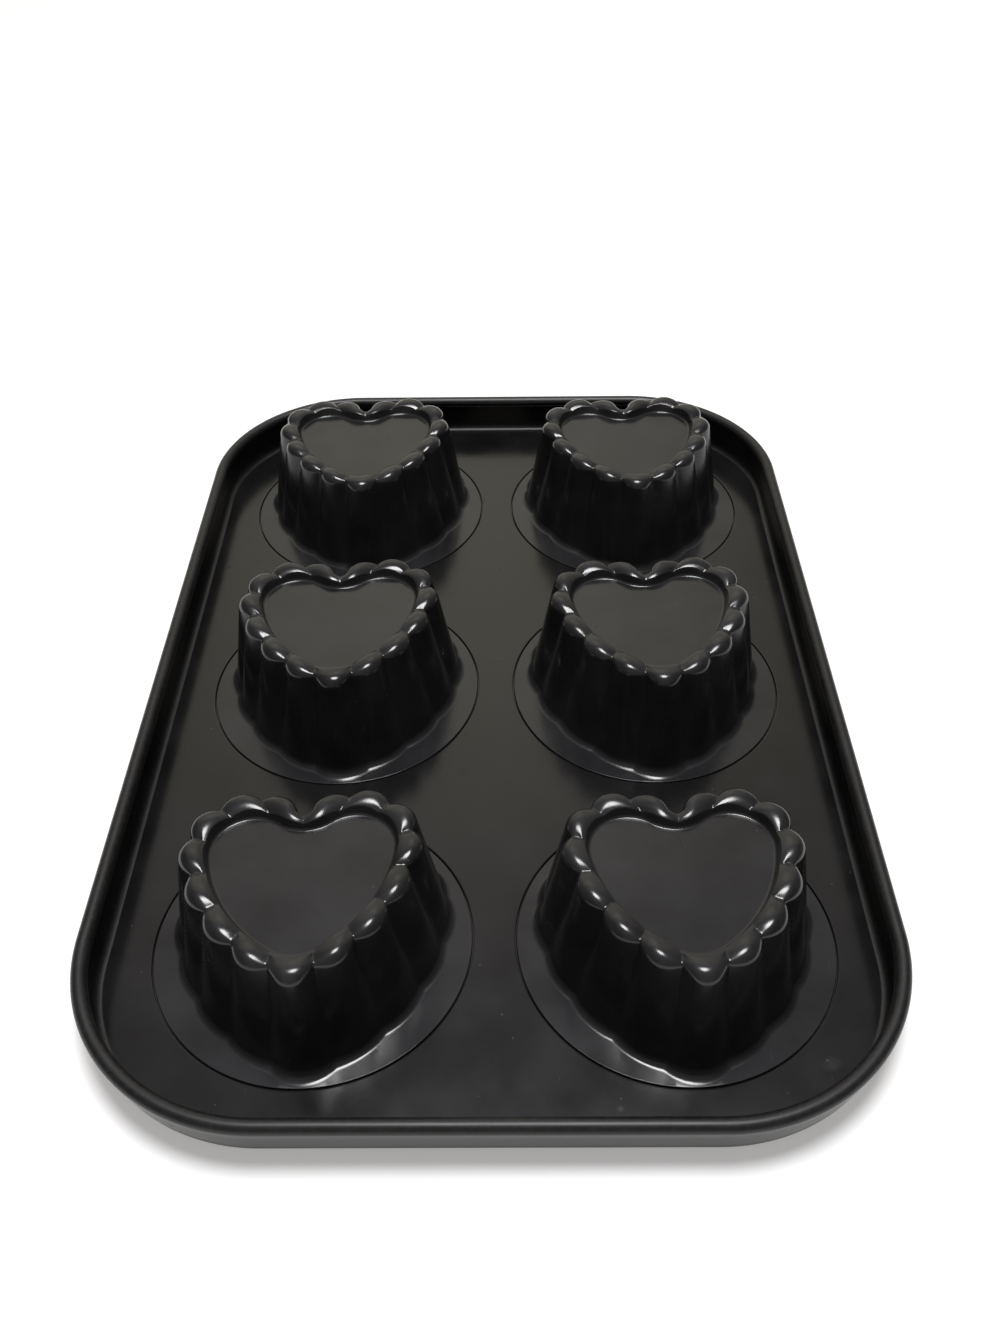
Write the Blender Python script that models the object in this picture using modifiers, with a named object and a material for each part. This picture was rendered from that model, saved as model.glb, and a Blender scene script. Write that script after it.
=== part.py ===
"""Heart muffin pan, modelled upside down: mouths of the cups down, cup floors up.

The pan is a pressed tray with round holes, a wire inside its rolled rim, and one
fluted heart cup in each hole. Each cup is a pressed sheet of its own. Its flange
lies flush with the deck inside the hole, then steps down and reaches under the
deck as a flat lap ring, on which the pan rests here.

Everything is in metres. The origin is at the middle of the pan on the plane that
it rests on. +Y runs along the pan's long side and +X across it. The hearts' tips
point along -Y.
"""

import math
from dataclasses import dataclass

import bmesh
import bpy

# Layout of the cups. Their grid lies a little off the middle of the rim, and each
# cup is pressed in with a small turn.
COLUMNS = 2
ROWS = 3
WEB_ACROSS = 0.0092
WEB_ALONG = 0.0103
GRID_SHIFT_X = 0.0007
GRID_SHIFT_Y = 0.0006
CUP_TURN = math.radians(2.5)

# Sheet metal and the fits between the pieces
SHEET_THICKNESS = 0.0006
SEAM_GAP = 0.00035
LAP_GAP = 0.0003
LAP_REACH = 0.0027
WIRE_GAP = 0.0003
CURL_GAP = 0.0004

# Heart outline at the top of a cup's wall, through the crests of the flutes
LOBE_RADIUS = 0.015
LOBE_OVERLAP = 0.004
LOBE_SHIFT = 0.00575
SIDE_RADIUS = 0.0412
SIDE_TURN = math.radians(8.4)
TIP_RADIUS = 0.0052
PANEL_TIP_RADIUS = 0.0065
NOTCH_EASE = 1.5

# Profile of a cup, above the deck's upper face and outward from the heart outline
CREST_HEIGHT = 0.0283
CREST_RADIUS = 0.0027
FOOT_FLARE = 0.0044
FLANGE_MARGIN = 0.00238
CREST_SLOPE = 0.0019
CREST_FALL = 0.0006
PANEL_DROP = 0.003
PANEL_STEP = 0.0018

# Flutes round a cup
FLUTES = 15
STEPS_PER_FLUTE = 4
FOOT_GROOVE = 0.0008
TOP_GROOVE = 0.0023
CREST_GROOVE = 0.0015
CREST_DIP = 0.0012

# Tray: the flat deck's mean margins outside the holes, its skirt and its rolled rim
SIDE_MARGIN = 0.0079
END_MARGIN = 0.0073
SIDE_FILLET = 0.0026
END_FILLET = 0.0047
SKIRT_LEAN = math.radians(12)
RIM_HEIGHT = 0.0101
RIM_CORNER_RADIUS = 0.042
BEAD_RADIUS = 0.00175

# Fineness of the facets
HOLE_SIDES = 64
CUTTER_DEPTH = 0.0024
CORNER_STEPS = 8
FILLET_STEPS = 3
CURL_STEPS = 12
SMOOTH_ANGLE = math.radians(35)
MERGE_DISTANCE = 0.00005

# Sizes that follow from those above
LAP_TOP = SHEET_THICKNESS
DECK_BOTTOM = LAP_TOP + LAP_GAP
DECK_TOP = DECK_BOTTOM + SHEET_THICKNESS
LOBE_X = LOBE_RADIUS - LOBE_OVERLAP
SIDE_CENTRE_X = LOBE_X - (SIDE_RADIUS - LOBE_RADIUS) * math.cos(SIDE_TURN)
SIDE_CENTRE_Y = LOBE_SHIFT + (SIDE_RADIUS - LOBE_RADIUS) * math.sin(SIDE_TURN)
BEAD_CENTRE_Z = DECK_TOP + RIM_HEIGHT
WIRE_RADIUS = BEAD_RADIUS - SHEET_THICKNESS - WIRE_GAP


@dataclass(frozen=True)
class Arc:
    """Part of a circle in a level plane, run from its start angle to its end angle.

    hollow is True where the arc bends into the heart, as in the notch.
    """

    x: float
    y: float
    radius: float
    start: float
    end: float
    hollow: bool = False

    @property
    def length(self):
        return self.radius * abs(self.end - self.start)

    def sample(self, distance):
        """Return the point at a distance from the start, and the outward normal there."""
        share = distance / self.length
        angle = self.start + (self.end - self.start) * share
        normal = (math.cos(angle), math.sin(angle))
        point = (self.x + self.radius * normal[0], self.y + self.radius * normal[1])
        if self.hollow:
            normal = (-normal[0], -normal[1])
        return point, normal


@dataclass(frozen=True)
class Level:
    """One level of a cup's outer face.

    outset is the outline's distance outward from the heart at the top of the wall,
    groove is how far the grooves cut in, and dip is how far they lie lower.
    """

    outset: float
    height: float
    groove: float
    dip: float = 0.0


def tip_radius(outset):
    """Return the tip's radius at an outset; it opens out towards the recessed panel."""
    if outset >= 0:
        return TIP_RADIUS + outset
    panel_inset = CREST_RADIUS + CREST_SLOPE + PANEL_STEP
    return TIP_RADIUS + (PANEL_TIP_RADIUS - TIP_RADIUS) * -outset / panel_inset


def heart_arcs(outset):
    """Return the arcs of the right half of the heart, from the notch to the tip."""
    lobe = LOBE_RADIUS + outset
    side = SIDE_RADIUS + outset
    tip = tip_radius(outset)
    tip_y = SIDE_CENTRE_Y - math.sqrt((side - tip) ** 2 - SIDE_CENTRE_X ** 2)
    tip_turn = math.atan2(tip_y - SIDE_CENTRE_Y, -SIDE_CENTRE_X)
    arcs = []
    if outset >= 0:
        lobe_start = math.pi - math.acos(LOBE_X / lobe)
    else:
        notch = -outset * NOTCH_EASE
        notch_y = LOBE_SHIFT + math.sqrt((lobe + notch) ** 2 - LOBE_X ** 2)
        lobe_start = math.atan2(notch_y - LOBE_SHIFT, -LOBE_X)
        arcs.append(Arc(0.0, notch_y, notch, -math.pi / 2, lobe_start - math.pi, hollow=True))
    arcs.append(Arc(LOBE_X, LOBE_SHIFT, lobe, lobe_start, -SIDE_TURN))
    arcs.append(Arc(SIDE_CENTRE_X, SIDE_CENTRE_Y, side, -SIDE_TURN, tip_turn))
    arcs.append(Arc(0.0, tip_y, tip, tip_turn, -math.pi / 2))
    return arcs


def heart_reach(outset):
    """Return how far the heart reaches from the cup's middle at an outset."""
    tip = heart_arcs(outset)[-1]
    to_tip = tip.radius - tip.y
    to_lobe = math.hypot(LOBE_X, LOBE_SHIFT) + LOBE_RADIUS + outset
    return max(to_tip, to_lobe)


FLANGE_RADIUS = heart_reach(FOOT_FLARE) + FLANGE_MARGIN
HOLE_RADIUS = FLANGE_RADIUS + SEAM_GAP
LAP_RADIUS = HOLE_RADIUS + LAP_REACH
PITCH_ACROSS = 2 * HOLE_RADIUS + WEB_ACROSS
PITCH_ALONG = 2 * HOLE_RADIUS + WEB_ALONG
DECK_HALF_WIDTH = PITCH_ACROSS * (COLUMNS - 1) / 2 + HOLE_RADIUS + SIDE_MARGIN
DECK_HALF_LENGTH = PITCH_ALONG * (ROWS - 1) / 2 + HOLE_RADIUS + END_MARGIN


def walk(arcs, distance):
    """Return the point and outward normal at a distance along a run of arcs."""
    for arc in arcs[:-1]:
        if distance <= arc.length:
            return arc.sample(distance)
        distance -= arc.length
    last = arcs[-1]
    return last.sample(min(distance, last.length))


def half_section(level):
    """Return the points of a cup's right half at a level, from the notch to the tip.

    The flutes are equally long round the heart. A groove lies on the notch and the
    middle of a flute on the tip.
    """
    arcs = heart_arcs(level.outset)
    total = sum(arc.length for arc in arcs)
    steps = FLUTES * STEPS_PER_FLUTE // 2
    points = []
    for step in range(steps + 1):
        phase = step / STEPS_PER_FLUTE % 1.0
        pinch = (2.0 * phase - 1.0) ** 2
        (x, y), (normal_x, normal_y) = walk(arcs, total * step / steps)
        x -= normal_x * level.groove * pinch
        y -= normal_y * level.groove * pinch
        if step in (0, steps):
            x = 0.0
        points.append((x, y, level.height - level.dip * pinch))
    return points


def ring_section(radius, height):
    """Return a half circle whose points lie outside those of the cup's foot."""
    arcs = heart_arcs(FOOT_FLARE)
    total = sum(arc.length for arc in arcs)
    steps = FLUTES * STEPS_PER_FLUTE // 2
    points = []
    for step in range(steps + 1):
        (x, y), _ = walk(arcs, total * step / steps)
        scale = radius / math.hypot(x, y)
        x = 0.0 if step in (0, steps) else x * scale
        points.append((x, y * scale, height))
    return points


def wall_top(crest_z):
    """Return the outset and height where the wall meets the crest's rounding.

    The wall is a straight line from the foot that touches the rounding's circle.
    """
    centre_z = crest_z - CREST_RADIUS
    run = FOOT_FLARE + CREST_RADIUS
    rise = centre_z - DECK_TOP
    lean = math.atan2(run, rise) - math.asin(CREST_RADIUS / math.hypot(run, rise))
    outset = -CREST_RADIUS + CREST_RADIUS * math.cos(lean)
    height = centre_z + CREST_RADIUS * math.sin(lean)
    return outset, height, lean


def cup_levels():
    """Return the levels of a cup's outer face from its foot to its recessed panel."""
    crest_z = DECK_TOP + CREST_HEIGHT
    top_outset, top_z, lean = wall_top(crest_z)
    middle = (lean + math.pi / 2) / 2
    shoulder_outset = CREST_RADIUS * (math.cos(middle) - 1.0)
    shoulder_z = crest_z - CREST_RADIUS * (1.0 - math.sin(middle))
    crest_end = CREST_RADIUS + CREST_SLOPE
    return [
        Level(FOOT_FLARE, DECK_TOP, FOOT_GROOVE),
        Level(top_outset, top_z, TOP_GROOVE),
        Level(shoulder_outset, shoulder_z, TOP_GROOVE, CREST_DIP / 2),
        Level(-CREST_RADIUS, crest_z, CREST_GROOVE, CREST_DIP),
        Level(-crest_end, crest_z - CREST_FALL, 0.0, CREST_DIP),
        Level(-crest_end - PANEL_STEP, crest_z - PANEL_DROP, 0.0),
    ]


def cup_mesh(material):
    """Return the right half of a cup's outer face, open at the middle plane."""
    sections = [
        ring_section(LAP_RADIUS, LAP_TOP),
        ring_section(FLANGE_RADIUS, LAP_TOP),
        ring_section(FLANGE_RADIUS, DECK_TOP),
    ]
    sections += [half_section(level) for level in cup_levels()]
    shape = bmesh.new()
    rows = [[shape.verts.new(point) for point in section] for section in sections]
    for outer, inner in zip(rows, rows[1:]):
        for i in range(len(outer) - 1):
            shape.faces.new((outer[i], inner[i], inner[i + 1], outer[i + 1]))
    shape.faces.new(reversed(rows[-1]))
    return finished_mesh(shape, "heart_cup", material)


def rim_path():
    """Return a quarter of the bead's middle line as points with outward normals.

    The quarter runs from the middle of the right side to the middle of the far end.
    """
    half_width = DECK_HALF_WIDTH + rim_run(SIDE_FILLET)
    half_length = DECK_HALF_LENGTH + rim_run(END_FILLET)
    centre_x = half_width - RIM_CORNER_RADIUS
    centre_y = half_length - RIM_CORNER_RADIUS
    path = [((half_width, 0.0), (1.0, 0.0))]
    for step in range(CORNER_STEPS + 1):
        angle = math.pi / 2 * step / CORNER_STEPS
        normal = (math.cos(angle), math.sin(angle))
        x = centre_x + RIM_CORNER_RADIUS * normal[0]
        y = centre_y + RIM_CORNER_RADIUS * normal[1]
        path.append(((x, y), normal))
    path.append(((0.0, half_length), (0.0, 1.0)))
    return path


def fillet_end(fillet):
    """Return where the skirt's outer face leaves its lower rounding.

    The first value is measured outward from the bead's middle line.
    """
    radius = fillet + SHEET_THICKNESS
    height = DECK_BOTTOM + radius * (1.0 - math.sin(SKIRT_LEAN))
    touch_z = BEAD_CENTRE_Z - BEAD_RADIUS * math.sin(SKIRT_LEAN)
    touch_out = BEAD_RADIUS * math.cos(SKIRT_LEAN)
    return touch_out - (touch_z - height) * math.tan(SKIRT_LEAN), height


def rim_run(fillet):
    """Return the distance from the end of the flat deck to the bead's middle line."""
    outward, _ = fillet_end(fillet)
    return (fillet + SHEET_THICKNESS) * math.cos(SKIRT_LEAN) - outward


def skirt_profile(fillet):
    """Return the outer face's profile, from the flat deck to the curl's free edge.

    Each point is the distance outward from the bead's middle line and the height.
    """
    radius = fillet + SHEET_THICKNESS
    start = -rim_run(fillet)
    profile = []
    for step in range(FILLET_STEPS + 1):
        angle = (math.pi / 2 - SKIRT_LEAN) * step / FILLET_STEPS
        profile.append((start + radius * math.sin(angle), DECK_BOTTOM + radius * (1.0 - math.cos(angle))))
    sweep = 2 * math.pi - math.acos((BEAD_RADIUS - SHEET_THICKNESS - CURL_GAP) / BEAD_RADIUS)
    for step in range(CURL_STEPS + 1):
        angle = sweep * step / CURL_STEPS - SKIRT_LEAN
        profile.append((BEAD_RADIUS * math.cos(angle), BEAD_CENTRE_Z + BEAD_RADIUS * math.sin(angle)))
    return profile


def tray_mesh(material):
    """Return a quarter of the tray's outer face, open at both middle planes."""
    shape = bmesh.new()
    rows = []
    for (x, y), (normal_x, normal_y) in rim_path():
        fillet = SIDE_FILLET + (END_FILLET - SIDE_FILLET) * normal_y ** 2
        row = []
        for outward, height in skirt_profile(fillet):
            row.append(shape.verts.new((x + normal_x * outward, y + normal_y * outward, height)))
        rows.append(row)
    for row, following in zip(rows, rows[1:]):
        for i in range(len(row) - 1):
            shape.faces.new((row[i], following[i], following[i + 1], row[i + 1]))
    middle = shape.verts.new((0.0, 0.0, DECK_BOTTOM))
    shape.faces.new([middle] + [row[0] for row in reversed(rows)])
    return finished_mesh(shape, "deck_tray", material)


def finished_mesh(shape, name, material):
    """Turn a bmesh into a smooth-shaded mesh with a material."""
    mesh = bpy.data.meshes.new(name)
    shape.to_mesh(mesh)
    shape.free()
    mesh.materials.append(material)
    mesh.shade_smooth()
    mesh.set_sharp_from_angle(angle=SMOOTH_ANGLE)
    return mesh


def make_material(name, colour, roughness, metallic):
    """Return a plain Principled material."""
    material = bpy.data.materials.new(name)
    material.use_nodes = True
    shader = material.node_tree.nodes["Principled BSDF"]
    shader.inputs["Base Color"].default_value = (*colour, 1.0)
    shader.inputs["Roughness"].default_value = roughness
    shader.inputs["Metallic"].default_value = metallic
    return material


def make_collection(name):
    """Return a new collection in the scene."""
    collection = bpy.data.collections.new(name)
    bpy.context.scene.collection.children.link(collection)
    return collection


def add_object(name, data, collection):
    """Return a new object with its data, linked to a collection."""
    thing = bpy.data.objects.new(name, data)
    collection.objects.link(thing)
    return thing


def add_mirror(thing, both_ways=False):
    """Complete an object that is modelled on one side of its middle plane or planes."""
    mirror = thing.modifiers.new("mirror", "MIRROR")
    mirror.use_axis[0] = True
    mirror.use_axis[1] = both_ways
    mirror.merge_threshold = MERGE_DISTANCE


def add_thickness(thing):
    """Give an open surface the sheet's thickness, on its inner side."""
    solidify = thing.modifiers.new("sheet", "SOLIDIFY")
    solidify.thickness = SHEET_THICKNESS
    solidify.offset = -1.0
    solidify.use_even_offset = True


def cup_places():
    """Return each cup's name and the middle of its hole, column by column."""
    places = []
    for column in range(COLUMNS):
        x = GRID_SHIFT_X + (column - (COLUMNS - 1) / 2) * PITCH_ACROSS
        for row in range(ROWS):
            y = GRID_SHIFT_Y + (row - (ROWS - 1) / 2) * PITCH_ALONG
            places.append((f"heart_cup_{chr(ord('a') + column)}{row + 1}", (x, y, 0.0)))
    return places


def add_hole_cutters(places, collection):
    """Add one cylinder through the deck for each cup."""
    shape = bmesh.new()
    bmesh.ops.create_cone(
        shape,
        cap_ends=True,
        segments=HOLE_SIDES,
        radius1=HOLE_RADIUS,
        radius2=HOLE_RADIUS,
        depth=CUTTER_DEPTH,
    )
    mesh = bpy.data.meshes.new("hole_cutter")
    shape.to_mesh(mesh)
    shape.free()
    for name, (x, y, _) in places:
        cutter = add_object(f"hole_for_{name}", mesh, collection)
        cutter.location = (x, y, (DECK_BOTTOM + DECK_TOP) / 2)
        cutter.hide_render = True
        cutter.display_type = "WIRE"


def add_tray(places, parts, cutters, material):
    """Add the tray: one pressed sheet with a hole for each cup and a rolled rim."""
    add_hole_cutters(places, cutters)
    tray = add_object("deck_tray", tray_mesh(material), parts)
    add_mirror(tray, both_ways=True)
    add_thickness(tray)
    holes = tray.modifiers.new("holes", "BOOLEAN")
    holes.operation = "DIFFERENCE"
    holes.solver = "EXACT"
    holes.operand_type = "COLLECTION"
    holes.collection = cutters


def add_rim_wire(parts, material):
    """Add the wire inside the rolled rim, all the way round."""
    quarter = [point for point, _ in rim_path()][1:-1]
    far_left = [(-x, y) for x, y in reversed(quarter)]
    far_half = quarter + far_left
    near_half = [(-x, -y) for x, y in far_half]
    points = far_half + near_half
    curve = bpy.data.curves.new("rim_wire", "CURVE")
    curve.dimensions = "3D"
    curve.bevel_depth = WIRE_RADIUS
    curve.bevel_resolution = 2
    spline = curve.splines.new("POLY")
    spline.points.add(len(points) - 1)
    for control, (x, y) in zip(spline.points, points):
        control.co = (x, y, BEAD_CENTRE_Z, 1.0)
    spline.use_cyclic_u = True
    spline.use_smooth = True
    curve.materials.append(material)
    add_object("rim_wire", curve, parts)


def add_cups(places, parts, material):
    """Add the cups, which share one half mesh."""
    mesh = cup_mesh(material)
    for name, place in places:
        cup = add_object(name, mesh, parts)
        cup.location = place
        cup.rotation_euler.z = CUP_TURN
        add_mirror(cup)
        add_thickness(cup)


def main():
    """Build the pan."""
    for thing in list(bpy.data.objects):
        bpy.data.objects.remove(thing, do_unlink=True)
    parts = make_collection("heart_muffin_pan")
    cutters = make_collection("cutters")
    deck_coating = make_material("deck_coating", (0.012, 0.012, 0.012), 0.22, 0.0)
    cup_coating = make_material("cup_coating", (0.010, 0.010, 0.011), 0.2, 0.0)
    wire_steel = make_material("wire_steel", (0.35, 0.35, 0.36), 0.4, 1.0)
    places = cup_places()
    add_tray(places, parts, cutters, deck_coating)
    add_rim_wire(parts, wire_steel)
    add_cups(places, parts, cup_coating)


main()
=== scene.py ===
"""Looks of the heart muffin pan, which lies upside down with its cup floors up.

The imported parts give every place. The tray, its wire and the fluted cups are modelled
again in fine detail on those places, with their finishes, under soft studio light.
"""

import logging
import math
from dataclasses import dataclass, field
from enum import Enum
from functools import reduce
from typing import Iterable, Optional

import bmesh
import bpy
from bpy.types import ID, Material, Mesh, Node, NodeSocket, NodeTree, Object
from mathutils import Matrix, Vector


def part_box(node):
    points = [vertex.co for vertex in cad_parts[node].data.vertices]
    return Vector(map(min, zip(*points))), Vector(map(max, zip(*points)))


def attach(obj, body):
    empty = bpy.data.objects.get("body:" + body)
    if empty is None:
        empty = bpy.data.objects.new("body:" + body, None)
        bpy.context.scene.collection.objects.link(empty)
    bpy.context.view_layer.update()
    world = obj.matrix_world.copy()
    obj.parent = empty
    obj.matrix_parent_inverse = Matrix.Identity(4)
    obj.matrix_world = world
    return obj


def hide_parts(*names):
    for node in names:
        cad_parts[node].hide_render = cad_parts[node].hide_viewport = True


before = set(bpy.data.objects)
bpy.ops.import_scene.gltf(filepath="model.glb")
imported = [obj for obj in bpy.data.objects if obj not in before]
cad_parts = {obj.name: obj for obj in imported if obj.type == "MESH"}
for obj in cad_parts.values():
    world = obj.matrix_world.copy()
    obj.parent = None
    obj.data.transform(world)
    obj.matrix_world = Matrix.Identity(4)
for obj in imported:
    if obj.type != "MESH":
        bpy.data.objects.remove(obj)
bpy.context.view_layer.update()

LOG = logging.getLogger("heart_muffin_pan")
MM = 0.001
BODY = "root"
SMOOTH_ANGLE = math.radians(40)
WELD_DISTANCE = 0.001 * MM
UPRIGHT = math.pi / 2
NOISE_LOW, NOISE_HIGH = 0.3, 0.7
# Added to a point's number, so that rounding doesn't make it the number before.
INDEX_NUDGE = 0.001
DECK_BLACK = (0.007, 0.007, 0.0075)
# The deck's coating with a lighter black on the cups, which stands in for light on their shaded walls:
# painted light.
CUP_BLACK_WITH_PAINTED_LIGHT = (0.016, 0.016, 0.0175)

Pair = tuple[float, float]
Triple = tuple[float, float, float]


class Slot(Enum):
    """The record's material slots."""

    DECK = "deck_coating"
    CUP = "cup_coating"
    WIRE = "wire_steel"


class Face(Enum):
    """The two faces of a pressed sheet: the one that shows here and the one below it."""

    UPPER = 0
    LOWER = 1


class Graph:
    """A node tree and short ways to add nodes to it and wire them."""

    def __init__(self, tree: NodeTree) -> None:
        """Start on a tree."""
        self.tree = tree

    def node(self, kind: str, inputs: Optional[dict] = None, **settings: object) -> Node:
        """Add a node.

        Args:
            kind: the node's type name.
            inputs: a socket or a value for each input, by name or number.
            settings: the node's own properties.

        Returns:
            The new node.
        """
        node = self.tree.nodes.new(kind)
        for name, value in settings.items():
            setattr(node, name, value)
        for key, value in (inputs or {}).items():
            self.feed(node.inputs[key], value)
        return node

    def feed(self, socket: NodeSocket, value: object) -> None:
        """Link a socket to another one, or set its value.

        Args:
            socket: the socket that takes the value.
            value: an output socket, or a plain value.
        """
        if isinstance(value, NodeSocket):
            self.tree.links.new(value, socket)
        else:
            socket.default_value = value

    def math(self, operation: str, first: object, second: object = 0.0, clamp: bool = False) -> NodeSocket:
        """Add a Math node of two inputs, kept from 0 to 1 if asked, and return its output."""
        inputs = {0: first, 1: second}
        return self.node("ShaderNodeMath", inputs, operation=operation, use_clamp=clamp).outputs[0]

    def total(self, *terms: object) -> NodeSocket:
        """Return the sum of two or more numbers, added in order."""
        return reduce(lambda first, second: self.math("ADD", first, second), terms)

    def product(self, *factors: object) -> NodeSocket:
        """Return the product of two or more numbers, multiplied in order."""
        return reduce(lambda first, second: self.math("MULTIPLY", first, second), factors)

    def vector(self, operation: str, first: object, second: object = (0.0, 0.0, 0.0)) -> NodeSocket:
        """Add a Vector Math node of two vectors and return its output."""
        return self.node("ShaderNodeVectorMath", {0: first, 1: second}, operation=operation).outputs[0]

    def scaled(self, vector: object, factor: object) -> NodeSocket:
        """Return a vector times a number."""
        inputs = {0: vector, "Scale": factor}
        return self.node("ShaderNodeVectorMath", inputs, operation="SCALE").outputs[0]

    def spread(self, value: NodeSocket, low: float, high: float, to_low: float, to_high: float) -> NodeSocket:
        """Map a number from one range to another, held at the new range's ends."""
        inputs = {0: value, 1: low, 2: high, 3: to_low, 4: to_high}
        return self.node("ShaderNodeMapRange", inputs).outputs[0]

    def noise(self, vector: NodeSocket, scale: float, detail: float = 2.0) -> NodeSocket:
        """Add a Noise Texture and return its value."""
        inputs = {"Vector": vector, "Scale": scale, "Detail": detail}
        return self.node("ShaderNodeTexNoise", inputs).outputs[0]

    def mottled(self, noise: NodeSocket, low: float, high: float) -> NodeSocket:
        """Map a noise value from its usual range to another one."""
        return self.spread(noise, NOISE_LOW, NOISE_HIGH, low, high)

    def eased(self, share: NodeSocket) -> NodeSocket:
        """Return a share from 0 to 1 with soft ends."""
        rest = self.math("SUBTRACT", 3.0, self.product(share, 2.0))
        return self.product(share, share, rest)

    def stored(self, name: str, data_type: str = "FLOAT") -> NodeSocket:
        """Return one of the values stored on a mesh, in a Geometry Nodes tree."""
        node = self.node("GeometryNodeInputNamedAttribute", {"Name": name}, data_type=data_type)
        return node.outputs[0]

    def mixed(self, factor: NodeSocket, first: object, second: object) -> NodeSocket:
        """Return a mix of two colours."""
        inputs = {0: factor, 6: first, 7: second}
        return self.node("ShaderNodeMix", inputs, data_type="RGBA").outputs[2]

    def dress(self, geometry: NodeSocket, material: NodeSocket, output: NodeSocket) -> None:
        """End a Geometry Nodes tree: make its result real, give it its material and put it out.

        Args:
            geometry: the result.
            material: the tree's input for the material.
            output: the tree's output.
        """
        realized = self.node("GeometryNodeRealizeInstances", {"Geometry": geometry})
        inputs = {"Geometry": realized.outputs[0], "Material": material}
        self.feed(output, self.node("GeometryNodeSetMaterial", inputs).outputs[0])


def new_tree(
    name: str, kind: str, inputs: dict[str, tuple], outputs: dict[str, str]
) -> tuple[Graph, dict, dict]:
    """Make a node group with named sockets.

    Args:
        name: the group's name.
        kind: the tree's type name.
        inputs: for each input its socket type and, where it has one, its default value.
        outputs: for each output its socket type.

    Returns:
        The tree's graph, the group's inputs by name as sockets to link from, and
        the group's outputs by name as sockets to link to.
    """
    tree = bpy.data.node_groups.new(name, kind)
    for label, (socket_type, *default) in inputs.items():
        socket = tree.interface.new_socket(label, in_out="INPUT", socket_type=socket_type)
        if default:
            socket.default_value = default[0]
    for label, socket_type in outputs.items():
        tree.interface.new_socket(label, in_out="OUTPUT", socket_type=socket_type)
    graph = Graph(tree)
    given = graph.node("NodeGroupInput").outputs
    wanted = graph.node("NodeGroupOutput").inputs
    return graph, {label: given[label] for label in inputs}, {label: wanted[label] for label in outputs}


def add_object(name: str, data: ID) -> Object:
    """Add an object to the scene.

    Args:
        name: the object's name.
        data: what it holds, such as a mesh or a camera.

    Returns:
        The new object.
    """
    thing = bpy.data.objects.new(name, data)
    bpy.context.scene.collection.objects.link(thing)
    return thing


def evaluate(name: str, mesh: Mesh, tree: NodeTree, values: dict) -> Object:
    """Run a Geometry Nodes tree on a mesh and keep the result as a plain object.

    Args:
        name: the new object's name.
        mesh: the mesh that goes in.
        tree: the tree.
        values: a value for each of the tree's inputs that is set, by name.

    Returns:
        An object at the origin with the result as its mesh and no modifier.
    """
    thing = add_object(name, mesh)
    modifier = thing.modifiers.new(tree.name, "NODES")
    modifier.node_group = tree
    for item in tree.interface.items_tree:
        if item.in_out == "INPUT" and item.name in values:
            modifier[item.identifier] = values[item.name]
    graph = bpy.context.evaluated_depsgraph_get()
    seen = thing.evaluated_get(graph)
    result = bpy.data.meshes.new_from_object(seen, preserve_all_data_layers=True, depsgraph=graph)
    thing.modifiers.remove(modifier)
    thing.data = result
    result.name = name
    result.materials.clear()
    result.materials.append(values["Finish"])
    result.polygons.foreach_set("material_index", [0] * len(result.polygons))
    return thing


def plain_mesh(name: str, points: Iterable[Triple], faces: Iterable[Iterable[int]]) -> Mesh:
    """Make a mesh of listed points and faces.

    Args:
        name: the mesh's name.
        points: its points.
        faces: the numbers of each face's points, in order round it.

    Returns:
        The new mesh.
    """
    mesh = bpy.data.meshes.new(name)
    mesh.from_pydata(list(points), [], list(faces))
    return mesh


def grow_attribute(mesh: Mesh, name: str, kind: str, values: list) -> None:
    """Store one value for each vertex of a mesh.

    Args:
        mesh: the mesh.
        name: the attribute's name.
        kind: FLOAT or FLOAT_VECTOR.
        values: one number or vector for each vertex.
    """
    attribute = mesh.attributes.new(name, kind, "POINT")
    field_name = "value" if kind == "FLOAT" else "vector"
    flat = values if kind == "FLOAT" else [number for value in values for number in value]
    attribute.data.foreach_set(field_name, flat)


@dataclass(frozen=True)
class Arc:
    """Part of a circle in a level plane, run from its start angle to its end angle."""

    x: float
    y: float
    radius: float
    start: float
    end: float
    hollow: bool = False

    @property
    def length(self) -> float:
        """The arc's length."""
        return self.radius * abs(self.end - self.start)

    def sample(self, distance: float) -> tuple[Pair, Pair]:
        """Find the point at a distance from the start.

        Args:
            distance: the length run along the arc.

        Returns:
            The point, and the outward normal there.
        """
        angle = self.start + (self.end - self.start) * distance / self.length
        normal = (math.cos(angle), math.sin(angle))
        point = (self.x + self.radius * normal[0], self.y + self.radius * normal[1])
        if self.hollow:
            normal = (-normal[0], -normal[1])
        return point, normal


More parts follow.
